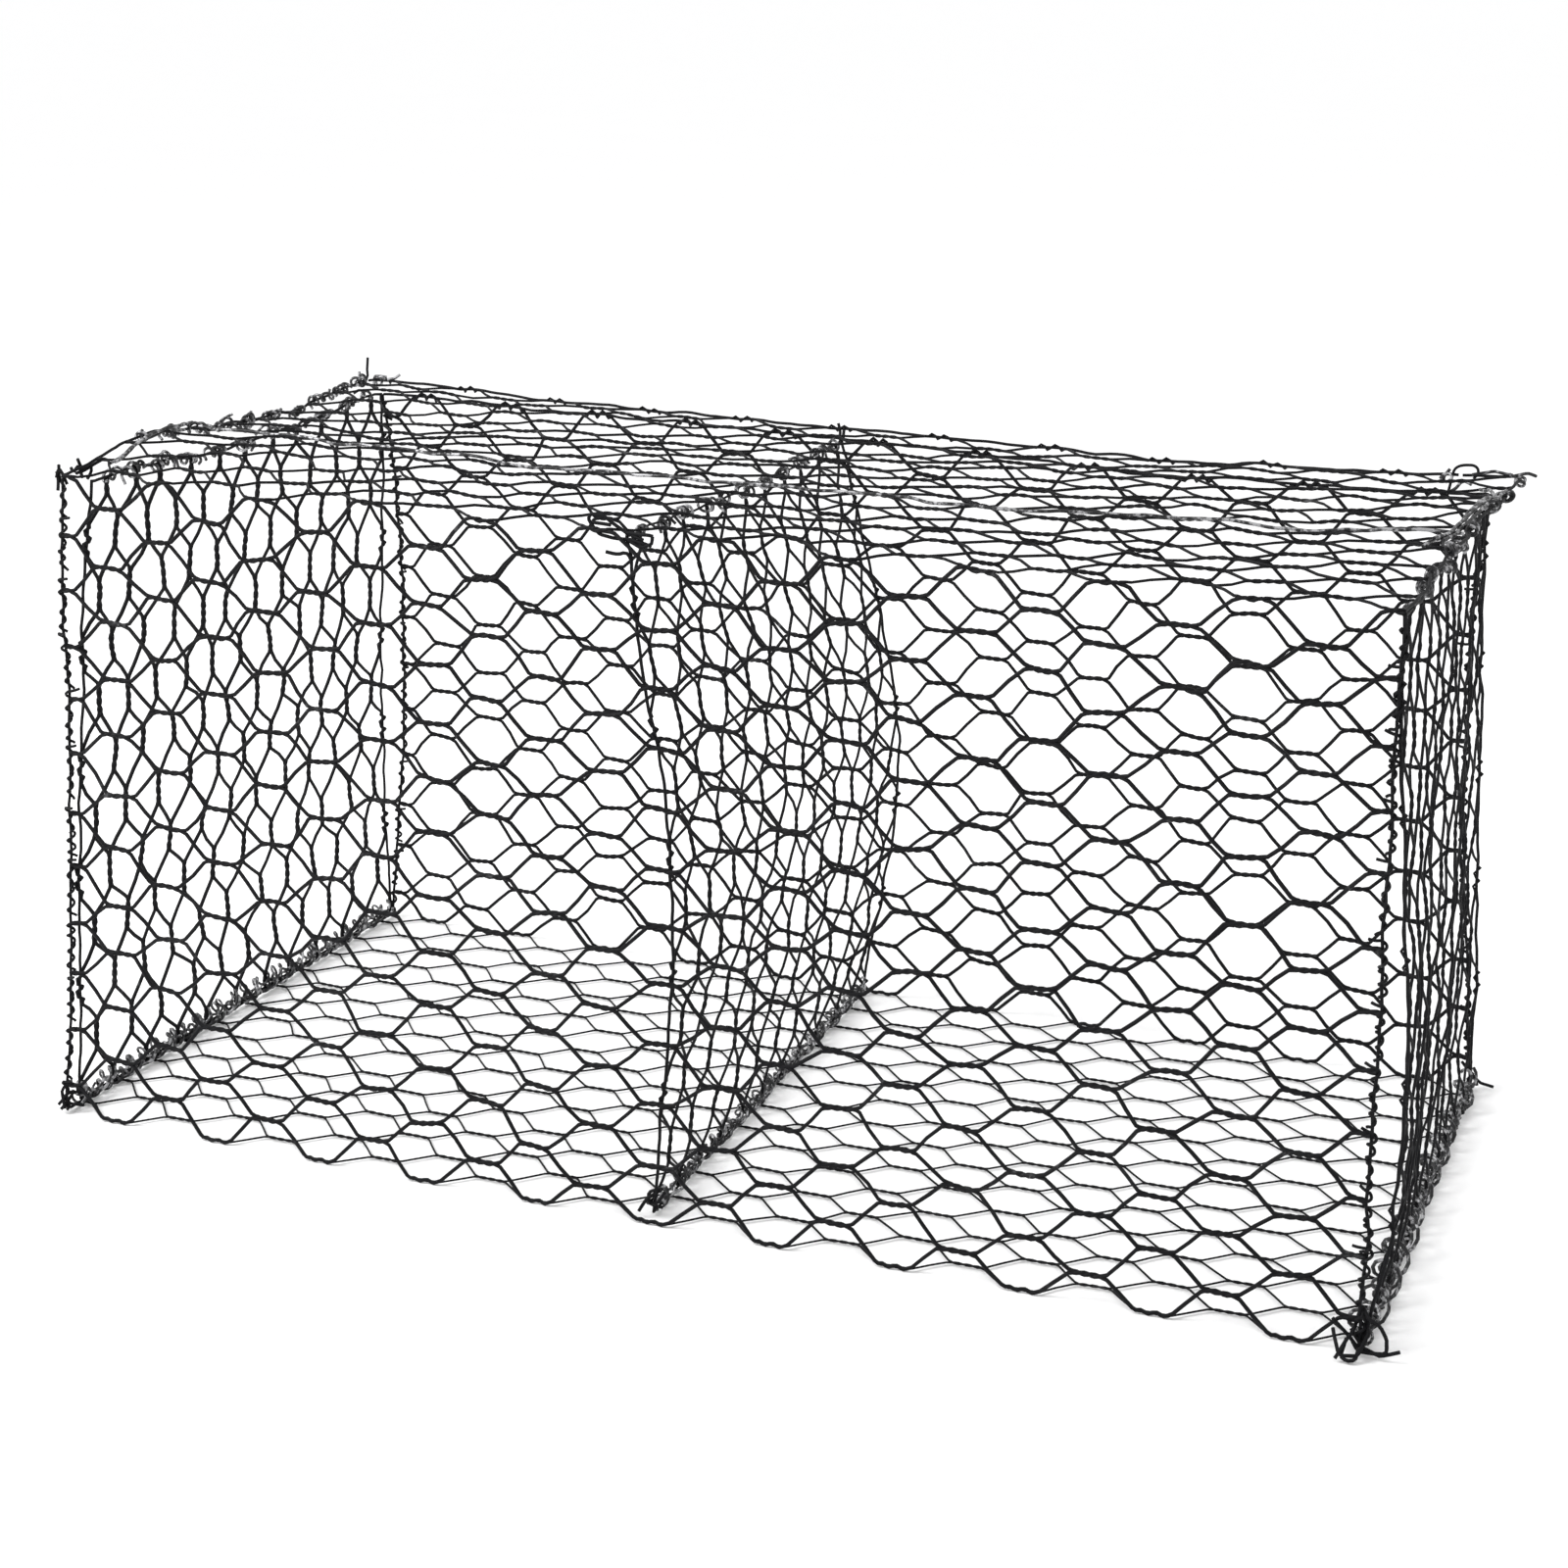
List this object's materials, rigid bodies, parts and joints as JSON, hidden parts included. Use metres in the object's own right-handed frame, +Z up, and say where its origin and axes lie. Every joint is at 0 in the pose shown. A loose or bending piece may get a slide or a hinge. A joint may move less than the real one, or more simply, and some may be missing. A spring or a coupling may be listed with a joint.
{
  "type": "gabion basket",
  "caption": "Box of double-twisted hexagonal wire mesh with a diaphragm making two cells, laced bottom edges and a hinged mesh lid, to be filled with stone.",
  "frame": {"origin": "middle of the base, on the ground", "axes": "+X along the basket, +Y from the hinged front wall to the back, +Z up"},
  "size_m": [2.007, 1, 1.0544],
  "materials": {
    "mesh_wire": "charcoal coated steel wire, satin, lightly scuffed",
    "edge_wire": "charcoal coated steel wire, heavier gauge, satin",
    "lacing_wire": "dark grey binding wire, dull, worn lighter at the bends"
  },
  "bodies": {
    "basket": {"base_mesh": "mesh_wire", "front_mesh": "mesh_wire", "back_mesh": "mesh_wire", "left_end_mesh": "mesh_wire", "diaphragm_mesh": "mesh_wire", "right_end_mesh": "mesh_wire", "left_end_front_post": "edge_wire", "left_end_back_post": "edge_wire", "left_end_bottom_wire": "edge_wire", "left_end_top_wire": "edge_wire", "diaphragm_front_post": "edge_wire", "diaphragm_back_post": "edge_wire", "diaphragm_bottom_wire": "edge_wire", "diaphragm_top_wire": "edge_wire", "right_end_front_post": "edge_wire", "right_end_back_post": "edge_wire", "right_end_bottom_wire": "edge_wire", "right_end_top_wire": "edge_wire", "body_wire_left": "edge_wire", "body_wire_right": "edge_wire", "back_top_wire": "edge_wire", "left_end_lacing": "lacing_wire", "diaphragm_lacing": "lacing_wire", "right_end_lacing": "lacing_wire"},
    "lid": {"lid_mesh": "mesh_wire", "lid_wire_left": "edge_wire", "lid_wire_right": "edge_wire", "lid_back_wire": "edge_wire"}
  },
  "joints": [
    {"name": "lid_hinge", "type": "hinge", "parent": "basket", "child": "lid", "pos_m": [0, -0.5025, 1.0025], "axis": [1, 0, 0], "range_deg": [0, 260]}
  ]
}
